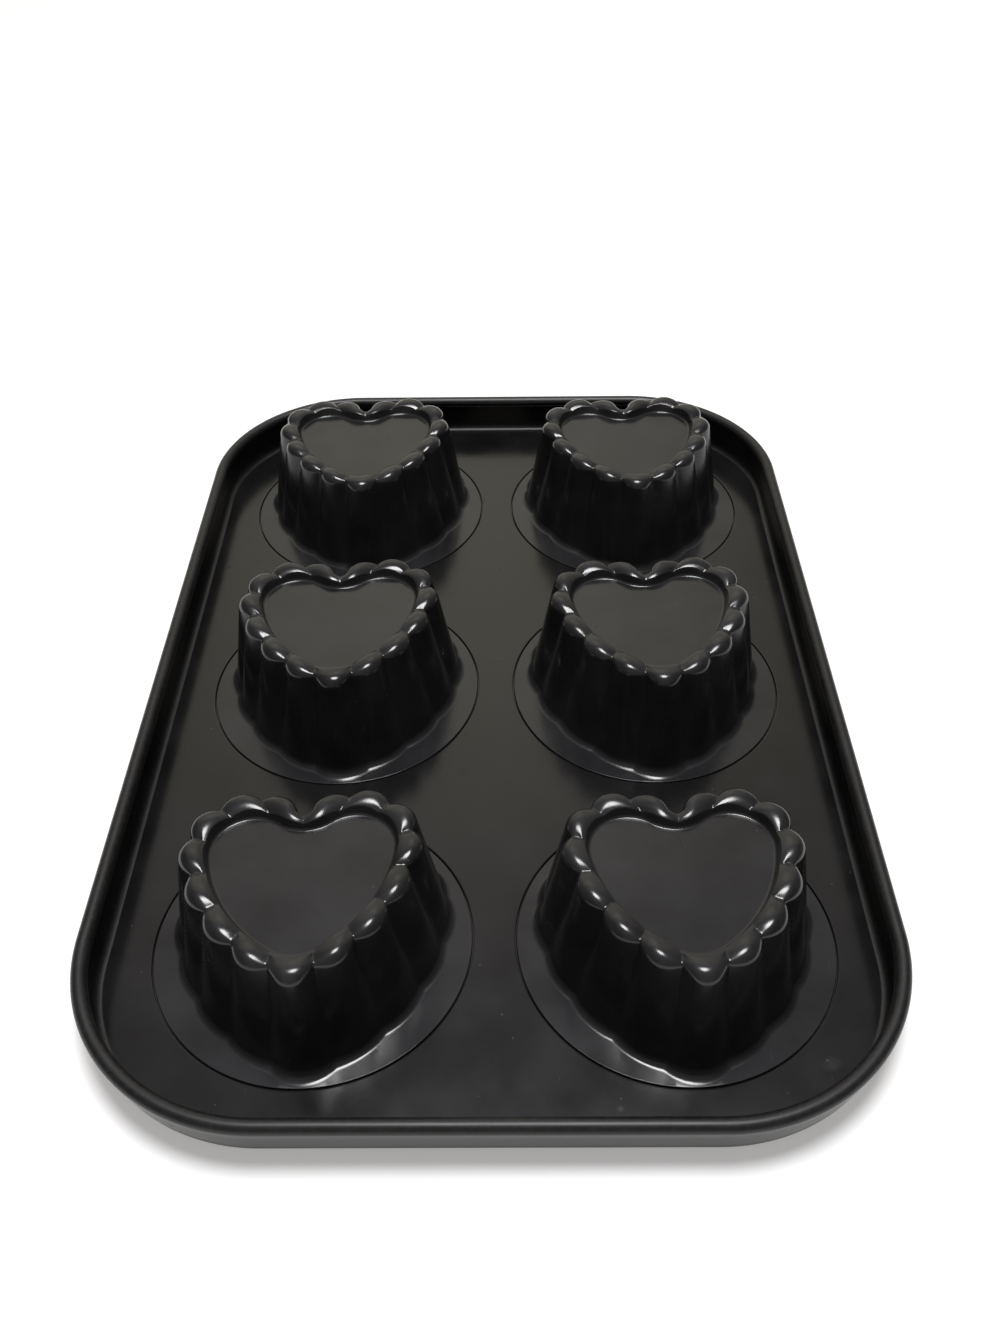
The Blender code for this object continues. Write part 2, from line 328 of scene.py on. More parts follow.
@dataclass(frozen=True)
class Heart:
    """The heart outline at the top of a cup's wall, and its parallels."""

    lobe_radius: float = 15.0 * MM
    lobe_overlap: float = 4.0 * MM
    lobe_shift: float = 5.75 * MM
    side_radius: float = 41.2 * MM
    side_turn: float = math.radians(8.4)
    tip_radius: float = 7.0 * MM
    crest_inset: float = 2.7 * MM
    panel_inset: float = 6.9 * MM
    panel_tip_radius: float = 8.6 * MM
    notch_ease: float = 1.5

    def arcs(self, outset: float) -> list[Arc]:
        """Return the right half's arcs, from the notch to the tip.

        Args:
            outset: how far outward the parallel lies.

        Returns:
            The arcs in order, each touching the next.
        """
        lobe_x = self.lobe_radius - self.lobe_overlap
        reach = self.side_radius - self.lobe_radius
        side_x = lobe_x - reach * math.cos(self.side_turn)
        side_y = self.lobe_shift + reach * math.sin(self.side_turn)
        lobe = self.lobe_radius + outset
        side = self.side_radius + outset
        opened = (self.panel_tip_radius - self.tip_radius) / (self.panel_inset - self.crest_inset)
        beyond_crest = max(-outset - self.crest_inset, 0.0)
        tip = self.tip_radius + max(outset, 0.0) + beyond_crest * opened
        tip_y = side_y - math.sqrt((side - tip) ** 2 - side_x ** 2)
        tip_turn = math.atan2(tip_y - side_y, -side_x)
        arcs = []
        if outset >= 0:
            lobe_start = math.pi - math.acos(lobe_x / lobe)
        else:
            notch = -outset * self.notch_ease
            notch_y = self.lobe_shift + math.sqrt((lobe + notch) ** 2 - lobe_x ** 2)
            lobe_start = math.atan2(notch_y - self.lobe_shift, -lobe_x)
            arcs.append(Arc(0.0, notch_y, notch, -UPRIGHT, lobe_start - math.pi, hollow=True))
        arcs.append(Arc(lobe_x, self.lobe_shift, lobe, lobe_start, -self.side_turn))
        arcs.append(Arc(side_x, side_y, side, -self.side_turn, tip_turn))
        arcs.append(Arc(0.0, tip_y, tip, tip_turn, -UPRIGHT))
        return arcs

    def outline(self, outset: float, half_steps: int) -> list[tuple[Pair, Pair]]:
        """Return evenly spaced points and outward normals all round, clockwise from the notch.

        Args:
            outset: how far outward the parallel lies.
            half_steps: the number of steps from the notch to the tip.

        Returns:
            The point and the normal at each step.
        """
        arcs = self.arcs(outset)
        total = sum(arc.length for arc in arcs)
        half = []
        for step in range(half_steps + 1):
            distance = total * step / half_steps
            for arc in arcs[:-1]:
                if distance <= arc.length:
                    break
                distance -= arc.length
            else:
                arc = arcs[-1]
            half.append(arc.sample(min(distance, arc.length)))
        for end in (0, -1):
            (_, y), (_, normal_y) = half[end]
            half[end] = ((0.0, y), (0.0, normal_y))
        mirrored = [((-x, y), (-nx, ny)) for (x, y), (nx, ny) in reversed(half[1:-1])]
        return half + mirrored


@dataclass(frozen=True)
class Station:
    """One level of a cup's sheet: where its outline lies and how deep its grooves are."""

    height: float
    outset: float = 0.0
    radius: float = 0.0
    groove: float = 0.0
    dip: float = 0.0
    wear: float = 0.0


def arc_points(x: float, y: float, radius: float, start: float, end: float, count: int) -> list[Pair]:
    """Return evenly spaced points on an arc about (x, y), with both its ends."""
    angles = [start + (end - start) * step / count for step in range(count + 1)]
    return [(x + radius * math.cos(angle), y + radius * math.sin(angle)) for angle in angles]


def ease(share: float) -> float:
    """Return a share from 0 to 1 with soft ends."""
    return share * share * (3.0 - 2.0 * share)


@dataclass
class HeartCup:
    """A fluted heart cup pressed from one sheet, with its flange and lap ring."""

    node: str
    heart: Heart = field(default_factory=Heart)
    sheet: float = 0.6 * MM
    lap_gap: float = 0.3 * MM
    flange_radius: float = 35.17 * MM
    flange_edge: float = 0.15 * MM
    lap_radius: float = 38.22 * MM
    foot_flare: float = 4.4 * MM
    foot_fillet: float = 1.9 * MM
    tip_fillet: float = 2.8 * MM
    crest_height: float = 28.3 * MM
    crest_radius: float = 2.7 * MM
    panel_drop: float = 3.0 * MM
    crest_run: float = 2.6 * MM
    crest_tilt: float = math.radians(25)
    inner_radius: float = 0.4 * MM
    inner_steepest: float = math.radians(74)
    panel_fillet: float = 0.8 * MM
    flutes: int = 15
    tip_spread: float = 0.14
    tip_reach: float = 1.5
    steps_per_flute: int = 32
    foot_groove: float = 0.8 * MM
    top_groove: float = 2.3 * MM
    crest_groove: float = 1.5 * MM
    crest_dip: float = 1.2 * MM
    groove_fade: float = 0.9
    dip_fade: float = 0.3
    turn: float = math.radians(2.5)
    edge_steps: int = 3
    foot_steps: int = 8
    wall_steps: int = 12
    crest_steps: int = 14
    slope_steps: int = 6
    drop_steps: int = 8

    @property
    def deck_top(self) -> float:
        """The height of the deck's upper face."""
        return 2 * self.sheet + self.lap_gap

    @property
    def crest_top(self) -> float:
        """The height of the cup's highest ring."""
        return self.deck_top + self.crest_height

    def place(self) -> Triple:
        """Return the middle of the cup's mouth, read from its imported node."""
        low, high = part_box(self.node)
        return ((low.x + high.x) / 2, (low.y + high.y) / 2, low.z)

    def wall_lean(self) -> float:
        """Work out how far the straight wall leans in.

        Returns:
            Its angle from upright.
        """
        run = self.foot_flare + self.crest_radius
        rise = self.crest_height - self.crest_radius
        return math.atan2(run, rise) - math.asin(self.crest_radius / math.hypot(run, rise))

    def mouth_stations(self, face: Face) -> list[Station]:
        """Return the round stations: the lap ring, its step up and the flange's edge.

        Args:
            face: which face of the sheet they are on.

        Returns:
            The stations, from the lap ring's edge inward.
        """
        edge = self.flange_edge
        if face is Face.UPPER:
            lap_z, wall, flat_z = self.sheet, self.flange_radius, self.deck_top
            corners = (lap_z - edge, lap_z)
        else:
            lap_z, wall, flat_z = 0.0, self.flange_radius - self.sheet, self.deck_top - self.sheet
            corners = (lap_z + edge, lap_z)
        places = [(self.lap_radius, corners[0]), (self.lap_radius - edge, corners[1])]
        places += arc_points(wall + edge, lap_z + edge, edge, -UPRIGHT, -math.pi, self.edge_steps)
        places += arc_points(wall - edge, flat_z - edge, edge, 0.0, UPRIGHT, self.edge_steps)
        return [Station(height, radius=radius) for radius, height in places]

    def foot_stations(self, fillet: float, depth: float) -> list[Station]:
        """Return a fillet at the wall's foot.

        Args:
            fillet: its radius on the upper face.
            depth: how far the face lies below the upper one.

        Returns:
            The stations, from the flange up.
        """
        sweep = UPRIGHT - self.wall_lean()
        out = self.foot_flare + fillet * math.tan(sweep / 2)
        up = self.deck_top + fillet
        arc = arc_points(out, up, fillet + depth, -UPRIGHT, -UPRIGHT - sweep, self.foot_steps)
        return [Station(height, outset=outset, groove=self.foot_groove) for outset, height in arc]

    def crest_stations(self, depth: float) -> list[Station]:
        """Return the rounding from the wall up to the crest's highest ring.

        Args:
            depth: how far the face lies below the upper one.

        Returns:
            The stations, from the wall inward.
        """
        radius = self.crest_radius
        turn = (self.wall_lean(), UPRIGHT, self.crest_steps)
        stations = []
        for step, place in enumerate(arc_points(-radius, self.crest_top - radius, radius - depth, *turn)):
            share = ease(step / self.crest_steps)
            outset, height = place
            groove = self.top_groove + (self.crest_groove - self.top_groove) * share
            dip = self.crest_dip * share
            stations.append(Station(height, outset, groove=groove, dip=dip, wear=share))
        return stations

    def panel_stations(self, depth: float) -> list[Station]:
        """Return the crest's gentle inner slope, then the steep drop into the recessed panel.

        Args:
            depth: how far the face lies below the upper one.

        Returns:
            The stations, from the crest inward.
        """
        tilt, steepest = self.crest_tilt, self.inner_steepest
        broad, inner, fillet = self.crest_run / math.sin(tilt), self.inner_radius, self.panel_fillet
        panel_z = self.crest_top - self.panel_drop
        inset, height = self.crest_radius, self.crest_top - broad
        gentle = (UPRIGHT, UPRIGHT - tilt, self.slope_steps)
        places = arc_points(inset, height, broad - depth, *gentle)[1:]
        inset += (broad - inner) * math.sin(tilt)
        height += (broad - inner) * math.cos(tilt)
        edge = (UPRIGHT - tilt, UPRIGHT - steepest, self.drop_steps)
        places += arc_points(inset, height, inner - depth, *edge)[1:]
        straight = height + inner * math.cos(steepest) - panel_z - fillet * (1 - math.cos(steepest))
        inset += (inner + fillet) * math.sin(steepest) + straight / math.tan(steepest)
        foot = (-UPRIGHT - steepest, -UPRIGHT, self.drop_steps)
        places += arc_points(inset, panel_z + fillet, fillet + depth, *foot)
        stations = []
        for inset, height in places:
            inward = ease(min((inset - self.crest_radius) / self.crest_run, 1.0))
            fallen = (self.crest_top - inner - depth - height) / straight
            left = 1.0 - ease(min(max(fallen, 0.0), 1.0))
            groove = self.crest_groove * (1.0 - self.groove_fade * inward) * left
            dip = self.crest_dip * (1.0 - self.dip_fade * inward) * left
            stations.append(Station(height, -inset, groove=groove, dip=dip, wear=1.0 - inward))
        return stations

    def stations(self, face: Face, fillet: float) -> list[Station]:
        """Return one face's stations in order, from the lap ring's edge to the panel.

        Args:
            face: which face of the sheet they are on.
            fillet: the radius of the fillet at the wall's foot.

        Returns:
            The stations, with the wall's own between those of the foot and the crest.
        """
        depth = 0.0 if face is Face.UPPER else self.sheet
        foot = self.foot_stations(fillet, depth)
        crest = self.crest_stations(depth)
        low, high = foot[-1], crest[0]
        wall = []
        for step in range(1, self.wall_steps):
            share = step / self.wall_steps
            wall.append(
                Station(
                    low.height + (high.height - low.height) * share,
                    outset=low.outset + (high.outset - low.outset) * share,
                    groove=low.groove + (high.groove - low.groove) * share,
                )
            )
        return self.mouth_stations(face) + foot + wall + crest + self.panel_stations(depth)

    def ring(self, station: Station, face: Face, half_steps: int) -> list[tuple[Triple, Triple]]:
        """Return the points of one station all round, each with its inward direction.

        Args:
            station: the station.
            face: which face of the sheet it is on.
            half_steps: the number of steps from the notch to the tip.

        Returns:
            The point and the direction at each step.
        """
        mouth_limit = self.flange_radius - self.sheet - self.flange_edge
        outset = self.foot_flare if station.radius else station.outset
        ring = []
        for (x, y), (normal_x, normal_y) in self.heart.outline(outset, half_steps):
            reach = math.hypot(x, y)
            scale = 1.0
            if station.radius:
                scale = station.radius / reach
            elif face is Face.LOWER and reach > mouth_limit:
                scale = mouth_limit / reach
            ring.append(((x * scale, y * scale, station.height), (-normal_x, -normal_y, 0.0)))
        return ring

    def phase(self, column: int) -> float:
        """Return the flute count at a column, stretched a little round the wide flute at the tip.

        Args:
            column: the column's number from the notch.

        Returns:
            A whole number where two flutes meet.
        """
        share = column / self.steps_per_flute
        from_tip = share - self.flutes / 2
        reach = min(abs(from_tip) / self.tip_reach, 1.0)
        return share - from_tip * self.tip_spread * (1.0 - reach * reach) ** 2

    def smooth_mesh(self) -> Mesh:
        """Model the cup's closed sheet without its grooves.

        Returns:
            The mesh, with what the grooves and the wear need kept as attributes.
        """
        half_steps = self.flutes * self.steps_per_flute // 2
        columns = 2 * half_steps
        points, inward, phase, groove, dip, wear = [], [], [], [], [], []
        faces = []
        rows = 0
        for face in Face:
            if face is Face.LOWER:
                lower_start = rows
            pairs = zip(self.stations(face, self.foot_fillet), self.stations(face, self.tip_fillet))
            for station, at_tip in pairs:
                ring = self.ring(station, face, half_steps)
                tip_ring = self.ring(at_tip, face, half_steps)
                for column, ((point, normal), (tip_point, _)) in enumerate(zip(ring, tip_ring)):
                    near_tip = ease(max(1.0 - abs(column - half_steps) / self.steps_per_flute, 0.0))
                    points.append(tuple(a + (b - a) * near_tip for a, b in zip(point, tip_point)))
                    inward.append(normal)
                    phase.append(self.phase(column))
                    groove.append(station.groove)
                    dip.append(station.dip)
                    wear.append(station.wear)
                rows += 1
        for row in range(rows - 1):
            if row + 1 == lower_start:
                continue
            for column in range(columns):
                after = (column + 1) % columns
                outer, inner = row * columns, (row + 1) * columns
                corners = (outer + column, inner + column, inner + after, outer + after)
                faces.append(corners if row < lower_start else corners[::-1])
        for column in range(columns):
            after = (column + 1) % columns
            low = lower_start * columns
            faces.append((low + column, column, after, low + after))
        faces.append([(lower_start - 1) * columns + column for column in reversed(range(columns))])
        faces.append([(rows - 1) * columns + column for column in range(columns)])
        mesh = plain_mesh(f"{self.node}_smooth", points, faces)
        grow_attribute(mesh, "inward", "FLOAT_VECTOR", inward)
        for name, values in {"phase": phase, "groove": groove, "dip": dip, "wear": wear}.items():
            grow_attribute(mesh, name, "FLOAT", values)
        return mesh

    def build(self, tree: NodeTree, material: Material) -> Object:
        """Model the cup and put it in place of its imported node.

        Args:
            tree: the fluting tree.
            material: the cup's finish.

        Returns:
            The finished piece.
        """
        values = {"Place": self.place(), "Turn": self.turn, "Finish": material}
        cup = evaluate(self.node.replace("heart_cup", "fluted_cup"), self.smooth_mesh(), tree, values)
        return put_in_frame(cup, [self.node])


def fluting_tree() -> NodeTree:
    """Make the tree that presses the flutes into a smooth cup and puts it in its place.

    Returns:
        A tree that draws each vertex in along its inward direction, most on a whole
        number of the phase, where two flutes meet, and not at all between two.
    """
    inputs = {
        "Cup": ("NodeSocketGeometry",),
        "Crease Rounding": ("NodeSocketFloat", 0.025),
        "Place": ("NodeSocketVector",),
        "Turn": ("NodeSocketFloat",),
        "Finish": ("NodeSocketMaterial",),
    }
    outputs = {"Cup": "NodeSocketGeometry"}
    graph, given, wanted = new_tree("press_flutes", "GeometryNodeTree", inputs, outputs)

    share = graph.math("FRACT", graph.stored("phase"))
    from_middle = graph.math("ABSOLUTE", graph.math("SUBTRACT", graph.product(share, 2.0), 1.0))
    to_groove = graph.math("SUBTRACT", 1.0, from_middle)
    rounding = graph.math("POWER", given["Crease Rounding"], 2.0)
    rounded = graph.math("SQRT", graph.total(graph.math("POWER", to_groove, 2.0), rounding))
    pinch = graph.math("POWER", graph.math("MAXIMUM", graph.math("SUBTRACT", 1.0, rounded), 0.0), 2.0)
    depth = graph.product(graph.stored("groove"), pinch)
    draw_in = graph.scaled(graph.stored("inward", "FLOAT_VECTOR"), depth)
    drop = graph.scaled((0.0, 0.0, -1.0), graph.product(graph.stored("dip"), pinch))
    inputs = {"Geometry": given["Cup"], "Offset": graph.vector("ADD", draw_in, drop)}
    pressed = graph.node("GeometryNodeSetPosition", inputs)
    turn = graph.node("ShaderNodeCombineXYZ", {2: given["Turn"]}).outputs[0]
    inputs = {"Geometry": pressed.outputs[0], "Translation": given["Place"], "Rotation": turn}
    placed = graph.node("GeometryNodeTransform", inputs)
    raised = graph.math("SUBTRACT", 1.0, pinch, clamp=True)
    worn = graph.product(graph.stored("wear"), raised)
    kept = graph.node(
        "GeometryNodeStoreNamedAttribute",
        {"Geometry": placed.outputs[0], "Name": "wear", "Value": worn},
        data_type="FLOAT",
        domain="POINT",
    )
    graph.dress(kept.outputs[0], given["Finish"], wanted["Cup"])
    return graph.tree


def put_in_frame(piece: Object, nodes: list[str]) -> Object:
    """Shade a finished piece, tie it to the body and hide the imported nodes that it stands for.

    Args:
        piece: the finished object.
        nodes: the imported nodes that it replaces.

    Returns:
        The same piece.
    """
    piece.data.shade_smooth()
    piece.data.set_sharp_from_angle(angle=SMOOTH_ANGLE)
    flats = piece.modifiers.new("flats_first", "WEIGHTED_NORMAL")
    flats.keep_sharp = True
    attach(piece, BODY)
    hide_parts(*nodes)
    LOG.info("%s: %d faces", piece.name, len(piece.data.polygons))
    return piece


def sweep_tree() -> NodeTree:
    """Make the tree that carries a profile round a closed path.

    Returns:
        A tree whose grid has one row for each path point and one column for each
        profile point. The mesh that it starts on is empty and isn't used.
    """
    inputs = {
        "Start": ("NodeSocketGeometry",),
        "Path": ("NodeSocketObject",),
        "Profile": ("NodeSocketObject",),
        "Path Points": ("NodeSocketInt",),
        "Profile Points": ("NodeSocketInt",),
        "Finish": ("NodeSocketMaterial",),
    }
    outputs = {"Band": "NodeSocketGeometry"}
    graph, given, wanted = new_tree("sweep_profile", "GeometryNodeTree", inputs, outputs)
    rows = graph.total(given["Path Points"], 1.0)
    inputs = {"Vertices X": rows, "Vertices Y": given["Profile Points"]}
    grid = graph.node("GeometryNodeMeshGrid", inputs)
    index = graph.node("GeometryNodeInputIndex").outputs[0]
    across = graph.math("FLOORED_MODULO", index, given["Profile Points"])
    along = graph.math("FLOOR", graph.math("DIVIDE", index, given["Profile Points"]))
    nudged = graph.total(along, INDEX_NUDGE)
    wrapped = graph.math("FLOORED_MODULO", nudged, given["Path Points"])

    def read(source: str, value: NodeSocket, at: NodeSocket) -> NodeSocket:
        """Read a vector of one of the guide objects.

        Args:
            source: the input that names the guide object.
            value: the vector to read.
            at: the number of the point to read it at.

        Returns:
            The vector at that point.
        """
        guide = graph.node("GeometryNodeObjectInfo", {"Object": given[source]}).outputs["Geometry"]
        inputs = {"Geometry": guide, "Value": value, "Index": at}
        settings = {"data_type": "FLOAT_VECTOR", "domain": "POINT"}
        return graph.node("GeometryNodeSampleIndex", inputs, **settings).outputs[0]

    position = graph.node("GeometryNodeInputPosition").outputs[0]
    path_point = read("Path", position, wrapped)
    path_normal = read("Path", graph.stored("outward", "FLOAT_VECTOR"), wrapped)
    parts = graph.node("ShaderNodeSeparateXYZ", {0: read("Profile", position, across)}).outputs
    raised = graph.node("ShaderNodeCombineXYZ", {2: parts["Z"]}).outputs[0]
    place = graph.vector("ADD", path_point, graph.scaled(path_normal, parts["X"]))
    inputs = {"Geometry": grid.outputs["Mesh"], "Position": graph.vector("ADD", place, raised)}
    moved = graph.node("GeometryNodeSetPosition", inputs)
    inputs = {"Geometry": moved.outputs[0], "Distance": WELD_DISTANCE}
    closed = graph.node("GeometryNodeMergeByDistance", inputs)
    graph.dress(closed.outputs[0], given["Finish"], wanted["Band"])
    return graph.tree


@dataclass
class Rim:
    """The tray's rolled rim: its middle line and the section that is carried along it.

    Sections are points whose first value is the distance outward from the bead's
    middle line and whose second value is the height.
    """

    half_width: float
    half_length: float
    bead_z: float
    deck_bottom: float
    sheet: float
    bead_radius: float = 1.75 * MM
    corner_radius: float = 42.0 * MM
    fillet: float = 2.0 * MM
    skirt_lean: float = math.radians(12)
    curl_gap: float = 0.4 * MM
    wire_gap: float = 0.3 * MM
    flat_lead: float = 0.4 * MM
    step: float = 5.0 * MM
    corner_steps: int = 48
    fillet_steps: int = 14
    skirt_steps: int = 4
    curl_steps: int = 40
    edge_steps: int = 6
    wire_steps: int = 20

    def run(self) -> float:
        """Work out how far the fillet and the skirt reach outward.

        Returns:
            The distance from the end of the flat deck to the bead's middle line.
        """
        radius = self.fillet + self.sheet
        lean = self.skirt_lean
        height = self.deck_bottom + radius * (1.0 - math.sin(lean))
        touch_z = self.bead_z - self.bead_radius * math.sin(lean)
        return (radius - self.bead_radius) * math.cos(lean) + (touch_z - height) * math.tan(lean)

    def skin(self, depth: float) -> list[Pair]:
        """Return one face's section, from the flat deck to the curl's free edge.

        Args:
            depth: how far the face lies inside the sheet's outer face.

        Returns:
            The section's points.
        """
        start, lean = -self.run(), self.skirt_lean
        radius = self.fillet + self.sheet
        up = self.deck_bottom + radius
        points = [(start - self.flat_lead, self.deck_bottom + depth)]
        points += arc_points(start, up, radius - depth, -UPRIGHT, -lean, self.fillet_steps)
        bead = self.bead_radius - depth
        curl = arc_points(0.0, self.bead_z, bead, -lean, self.curl_end(), self.curl_steps)
        (low_out, low_z), (high_out, high_z) = points[-1], curl[0]
        for step in range(1, self.skirt_steps):
            share = step / self.skirt_steps
            points.append((low_out + (high_out - low_out) * share, low_z + (high_z - low_z) * share))
        return points + curl

    def curl_end(self) -> float:
        """Return the angle round the bead at which the curl's free edge lies."""
        clear = (self.bead_radius - self.sheet - self.curl_gap) / self.bead_radius
        return 2 * math.pi - math.acos(clear) - self.skirt_lean

    def section(self) -> list[Pair]:
        """Join both faces and the rounded free edge between them.

        Returns:
            The points of the whole section.
        """
        end = self.curl_end()
        middle = self.bead_radius - self.sheet / 2
        edge_out, edge_z = middle * math.cos(end), self.bead_z + middle * math.sin(end)
        half_turn = (end, end + math.pi, self.edge_steps)
        edge = arc_points(edge_out, edge_z, self.sheet / 2, *half_turn)[1:-1]
        return self.skin(0.0) + edge + self.skin(self.sheet)[::-1]

    def wire_section(self) -> list[Pair]:
        """Return the wire's round section, whose last point is its first."""
        radius = self.bead_radius - self.sheet - self.wire_gap
        return arc_points(0.0, self.bead_z, radius, 0.0, 2 * math.pi, self.wire_steps)

    def path(self) -> tuple[list[Pair], list[Pair]]:
        """Lay out the bead's middle line, counterclockwise.

        Returns:
            Its points, and the outward normal at each of them.
        """
        reach_x = self.half_width - self.corner_radius
        reach_y = self.half_length - self.corner_radius
        points, normals = [], []
        for turn, (centre_x, centre_y) in enumerate(((1, 1), (-1, 1), (-1, -1), (1, -1))):
            corner = (turn * UPRIGHT, (turn + 1) * UPRIGHT, self.corner_steps)
            normals += arc_points(0.0, 0.0, 1.0, *corner)
            points += arc_points(centre_x * reach_x, centre_y * reach_y, self.corner_radius, *corner)
            run = 2 * (reach_x if turn % 2 == 0 else reach_y)
            count = round(run / self.step)
            x, y = points[-1]
            along_x, along_y = -normals[-1][1], normals[-1][0]
            for number in range(1, count):
                distance = run * number / count
                normals.append(normals[-1])
                points.append((x + along_x * distance, y + along_y * distance))
        return points, normals

    def guide(
        self, name: str, points: Iterable[Triple], outward: Optional[list[Triple]] = None
    ) -> Object:
        """Make an object that only holds points, for the sweep to read.

        Args:
            name: the object's name.
            points: the points.
            outward: the outward direction at each point, where the sweep needs it.

        Returns:
            The new object.
        """
        mesh = plain_mesh(name, points, [])
        if outward:
            grow_attribute(mesh, "outward", "FLOAT_VECTOR", outward)
        return add_object(name, mesh)

    def sweep(
        self, name: str, tree: NodeTree, section: list[Pair], material: Material
    ) -> Object:
        """Carry a section round the rim with the sweeping tree.

        Args:
            name: the new object's name.
            tree: the sweeping tree.
            section: the section's points.
            material: the band's finish.

        Returns:
            The band as a plain object.
        """
        points, normals = self.path()
        guides = [
            self.guide("rim_path", [(x, y, 0.0) for x, y in points], [(x, y, 0.0) for x, y in normals]),
            self.guide("rim_section", [(out, 0.0, z) for out, z in section]),
        ]
        values = {
            "Path": guides[0],
            "Profile": guides[1],
            "Path Points": len(points),
            "Profile Points": len(section),
            "Finish": material,
        }
        band = evaluate(name, plain_mesh(name, [], []), tree, values)
        for thing in guides:
            bpy.data.objects.remove(thing, do_unlink=True)
        return band


@dataclass
class Tray:
    """The pressed tray: a flat deck with a round hole for each cup, and a rolled rim."""

    cups: list[HeartCup]
    node: str = "deck_tray"
    wire_node: str = "rim_wire"
    sheet: float = 0.6 * MM
    seam_gap: float = 0.35 * MM
    edge_radius: float = 0.14 * MM
    flat_lead: float = 0.3 * MM
    edge_steps: int = 4
    hole_steps: int = 240
    bead_wear_reach: float = 0.5
    skirt_wear: float = 0.8
    skirt_wear_start: float = 0.01
    rim: Rim = field(init=False)

    def __post_init__(self) -> None:
        """Read the rim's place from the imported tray."""
        low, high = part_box(self.node)
        bead = Rim.bead_radius
        self.rim = Rim(high.x - bead, high.y - bead, high.z - bead, low.z, self.sheet)

    def hole_section(self, radius: float) -> list[Pair]:
        """Return the section of a hole's rounded edge.

        Args:
            radius: the hole's radius.

        Returns:
            Radius and height at each point, from the upper face to the lower.
        """
        top = self.rim.deck_bottom + self.sheet
        bottom = self.rim.deck_bottom
        edge = self.edge_radius
        section = [(radius + edge + self.flat_lead, top)]
        section += arc_points(radius + edge, top - edge, edge, UPRIGHT, math.pi, self.edge_steps)
        section += arc_points(radius + edge, bottom + edge, edge, math.pi, 3 * UPRIGHT, self.edge_steps)
        section.append((radius + edge + self.flat_lead, bottom))
        return section

    def add_hole(self, shape: bmesh.types.BMesh, cup: HeartCup) -> None:
        """Add the rounded edge of one cup's hole.

        Args:
            shape: the tray's mesh.
            cup: the cup that fills the hole.
        """
        middle_x, middle_y, _ = cup.place()
        rows = []
        for radius, height in self.hole_section(cup.flange_radius + self.seam_gap):
            circle = arc_points(middle_x, middle_y, radius, 0.0, 2 * math.pi, self.hole_steps)[:-1]
            rows.append([shape.verts.new((x, y, height)) for x, y in circle])
        for row, below in zip(rows, rows[1:]):
            for i, vertex in enumerate(row):
                shape.faces.new((row[i - 1], below[i - 1], below[i], vertex))

    def build(self, sweep: NodeTree, material: Material) -> Object:
        """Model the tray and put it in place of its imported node.

        Args:
            sweep: the sweeping tree.
            material: the tray's finish.

        Returns:
            The finished piece.
        """
        tray = self.rim.sweep("pressed_tray", sweep, self.rim.section(), material)
        shape = bmesh.new()
        shape.from_mesh(tray.data)
        for cup in self.cups:
            self.add_hole(shape, cup)
        middle_z = self.rim.deck_bottom + self.sheet / 2
        open_edges = [edge for edge in shape.edges if edge.is_boundary]
        for upper in (True, False):
            loops = [edge for edge in open_edges if (edge.verts[0].co.z > middle_z) is upper]
            bmesh.ops.triangle_fill(shape, edges=loops, use_beauty=True, normal=(0.0, 0.0, 1.0))
        bmesh.ops.recalc_face_normals(shape, faces=shape.faces)
        shape.to_mesh(tray.data)
        shape.free()
        self.mark_wear(tray.data)
        return put_in_frame(tray, [self.node])

    def mark_wear(self, mesh: Mesh) -> None:
        """Store where the tray rubs: on the bead's upper half and at the foot of its skirt.

        Args:
            mesh: the finished tray.
        """
        wear = []
        foot = self.rim.deck_bottom + self.sheet
        for vertex in mesh.vertices:
            rise = (vertex.co.z - self.rim.bead_z) / self.rim.bead_radius
            above = (vertex.co.z - foot) / self.rim.fillet
            rubbed = self.skirt_wear if self.skirt_wear_start < above < 1.0 else 0.0
            wear.append(ease(min(max(rise / self.bead_wear_reach, 0.0), 1.0)) + rubbed)
        grow_attribute(mesh, "wear", "FLOAT", wear)

    def build_wire(self, sweep: NodeTree, material: Material) -> Object:
        """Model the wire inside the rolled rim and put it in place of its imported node.

        Args:
            sweep: the sweeping tree.
            material: the wire's finish.

        Returns:
            The finished piece.
        """
        wire = self.rim.sweep("rim_core_wire", sweep, self.rim.wire_section(), material)
        return put_in_frame(wire, [self.wire_node])


@dataclass(frozen=True)
class Spots:
    """Soft round spots in some cells of a texture: its scale, their share and their radii."""

    scale: float
    share: float
    inner: float
    outer: float


